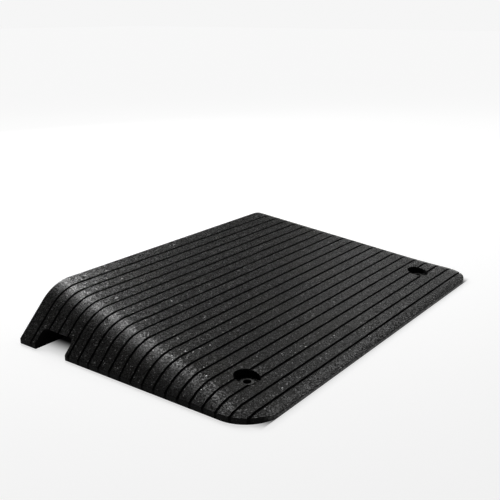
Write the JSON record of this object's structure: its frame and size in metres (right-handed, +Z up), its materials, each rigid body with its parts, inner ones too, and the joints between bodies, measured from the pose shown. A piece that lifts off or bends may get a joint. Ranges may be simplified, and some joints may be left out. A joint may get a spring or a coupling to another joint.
{
  "type": "curb ramp",
  "caption": "Heavy moulded rubber wedge that carries wheels over a kerb, with a grooved tread, a drain channel and washered fixing recesses.",
  "frame": {"origin": "middle of the footprint, on the road", "axes": "+X runs down the ramp from the kerb face to the toe, +Y across it, +Z up"},
  "size_m": [0.66, 1.05, 0.118],
  "materials": {
    "crumb_rubber": "moulded recycled rubber granulate, matt and grainy with a soft sheen",
    "zinc_plated_steel": "dull zinc plating"
  },
  "bodies": {
    "root": {"ramp_body": "crumb_rubber", "fixing_washer_right": "zinc_plated_steel", "fixing_washer_left": "zinc_plated_steel"}
  },
  "joints": []
}
